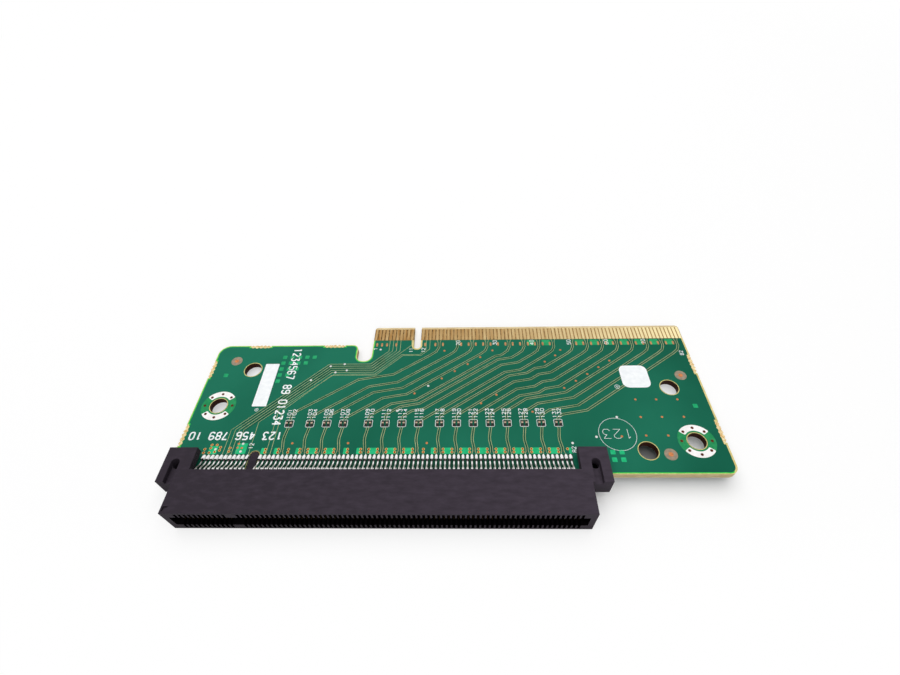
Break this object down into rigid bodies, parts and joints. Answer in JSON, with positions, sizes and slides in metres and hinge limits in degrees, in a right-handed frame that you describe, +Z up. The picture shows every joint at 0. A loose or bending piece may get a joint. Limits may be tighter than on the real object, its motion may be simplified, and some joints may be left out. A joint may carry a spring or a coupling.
{
  "type": "riser card",
  "caption": "Flat circuit board with a gold card edge on one side and a straddle-mount slot connector on the other, for turning an expansion slot sideways in a server.",
  "frame": {"origin": "under the middle of the card's overall outline, on the underside of the connector housing", "axes": "+X along the board, towards the end that the gold tab is flush with; +Y towards the gold tab; +Z up out of the component side"},
  "size_m": [0.126, 0.0548, 0.0078],
  "materials": {
    "solder_mask": "glossy green solder mask on glass laminate",
    "housing": "matt black moulding",
    "gold": "gold plating",
    "contact": "tinned copper alloy",
    "capacitor": "fired ceramic with tinned ends"
  },
  "bodies": {
    "root": {"board": "solder_mask", "connector_housing": "housing", "gold_fingers_top": "gold", "gold_fingers_bottom": "gold", "top_contacts_short_bank": "contact", "top_contacts_long_bank": "contact", "bottom_contacts_short_bank": "contact", "bottom_contacts_long_bank": "contact", "capacitor_01a": "capacitor", "capacitor_01b": "capacitor", "capacitor_02a": "capacitor", "capacitor_02b": "capacitor", "capacitor_03a": "capacitor", "capacitor_03b": "capacitor", "capacitor_04a": "capacitor", "capacitor_04b": "capacitor", "capacitor_05a": "capacitor", "capacitor_05b": "capacitor", "capacitor_06a": "capacitor", "capacitor_06b": "capacitor", "capacitor_07a": "capacitor", "capacitor_07b": "capacitor", "capacitor_08a": "capacitor", "capacitor_08b": "capacitor", "capacitor_09a": "capacitor", "capacitor_09b": "capacitor", "capacitor_10a": "capacitor", "capacitor_10b": "capacitor", "capacitor_11a": "capacitor", "capacitor_11b": "capacitor", "capacitor_12a": "capacitor", "capacitor_12b": "capacitor", "capacitor_13a": "capacitor", "capacitor_13b": "capacitor", "capacitor_14a": "capacitor", "capacitor_14b": "capacitor", "capacitor_15a": "capacitor", "capacitor_15b": "capacitor", "capacitor_16a": "capacitor", "capacitor_16b": "capacitor"}
  },
  "joints": []
}
